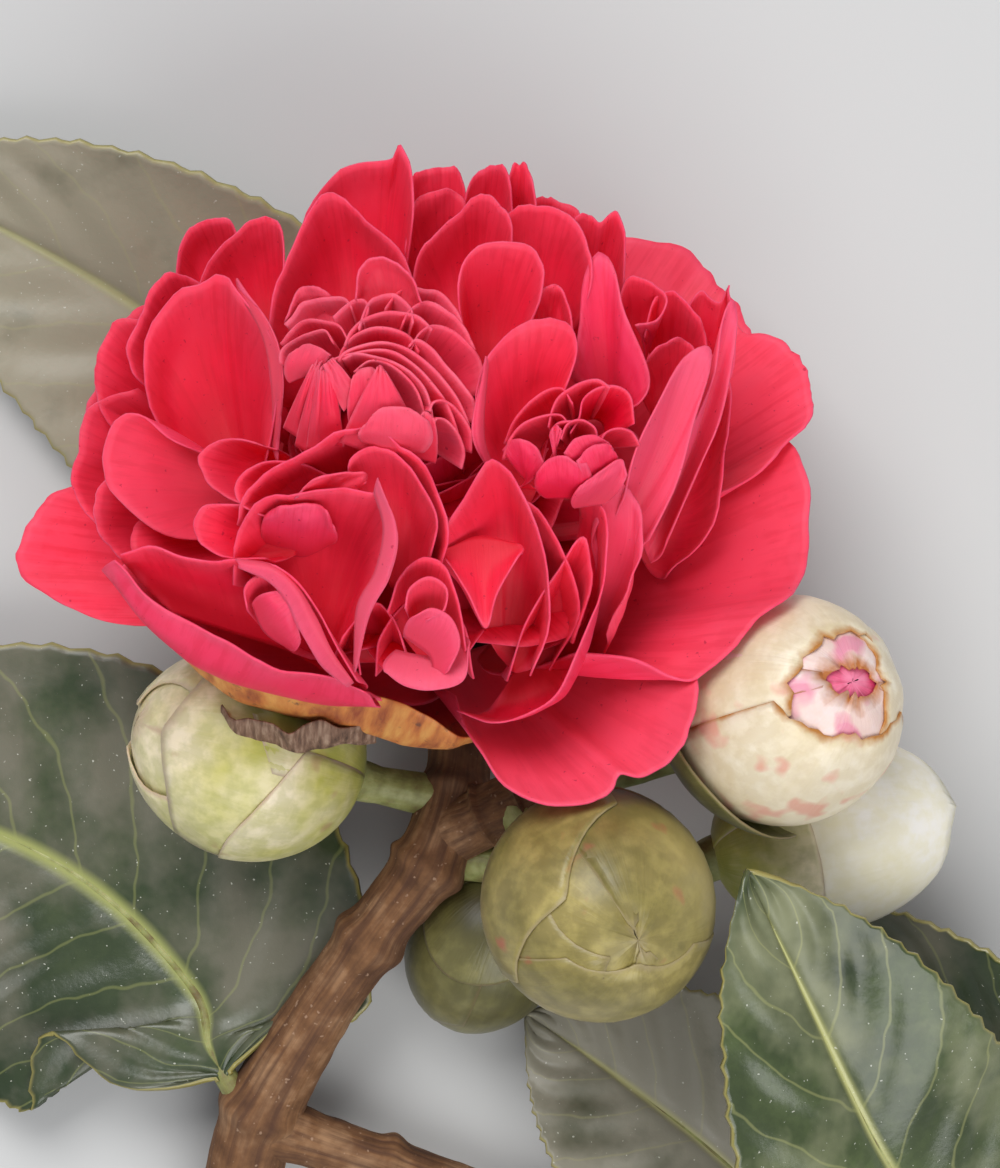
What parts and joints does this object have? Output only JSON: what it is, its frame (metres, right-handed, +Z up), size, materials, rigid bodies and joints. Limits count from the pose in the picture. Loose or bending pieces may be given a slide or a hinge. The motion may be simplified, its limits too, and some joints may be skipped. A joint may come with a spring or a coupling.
{
  "type": "cut camellia sprig",
  "caption": "Cut sprig of a camellia shrub, lying down: a forked brown twig with a large rose-red double bloom, plump green and cream buds and glossy pointed leaves.",
  "frame": {"origin": "middle of the footprint of the whole sprig's bounding box, on the surface it lies on", "axes": "+Z up from the surface, -Y towards the cut end of the stem, +Y the way the bloom leans, +X towards the side with three buds"},
  "size_m": [0.1583, 0.1346, 0.0683],
  "materials": {
    "petal": "satin",
    "faded_petal": "matte",
    "dry_bract": "matte",
    "bark": "matte",
    "stalk": "satin",
    "bract_green": "satin",
    "bract_cream": "satin",
    "bract_dark": "satin",
    "leaf": "gloss"
  },
  "bodies": {
    "root": {"stem": "bark", "side_twig": "bark", "spur": "bark", "bud_front": "bract_green", "bud_opening": "bract_cream", "bud_pale": "bract_cream", "bud_split": "bract_green", "bud_dark": "bract_dark", "stalk_front": "stalk", "stalk_opening": "stalk", "stalk_pale": "stalk", "stalk_split": "stalk", "stalk_dark": "stalk", "bloom_heart": "petal", "petal_bottom": "petal", "petal_behind": "petal", "petal_left": "petal", "petal_lower_right": "petal", "petal_upper_right": "petal", "petal_behind_left": "petal", "petal_faded": "faded_petal", "petal_right": "petal", "petal_upper_left": "petal", "petal_lower_left": "petal", "dry_bract": "dry_bract", "calyx": "bract_dark", "leaf_front": "leaf", "leaf_low": "leaf", "leaf_right": "leaf", "leaf_left": "leaf", "leaf_back": "leaf"}
  },
  "joints": []
}
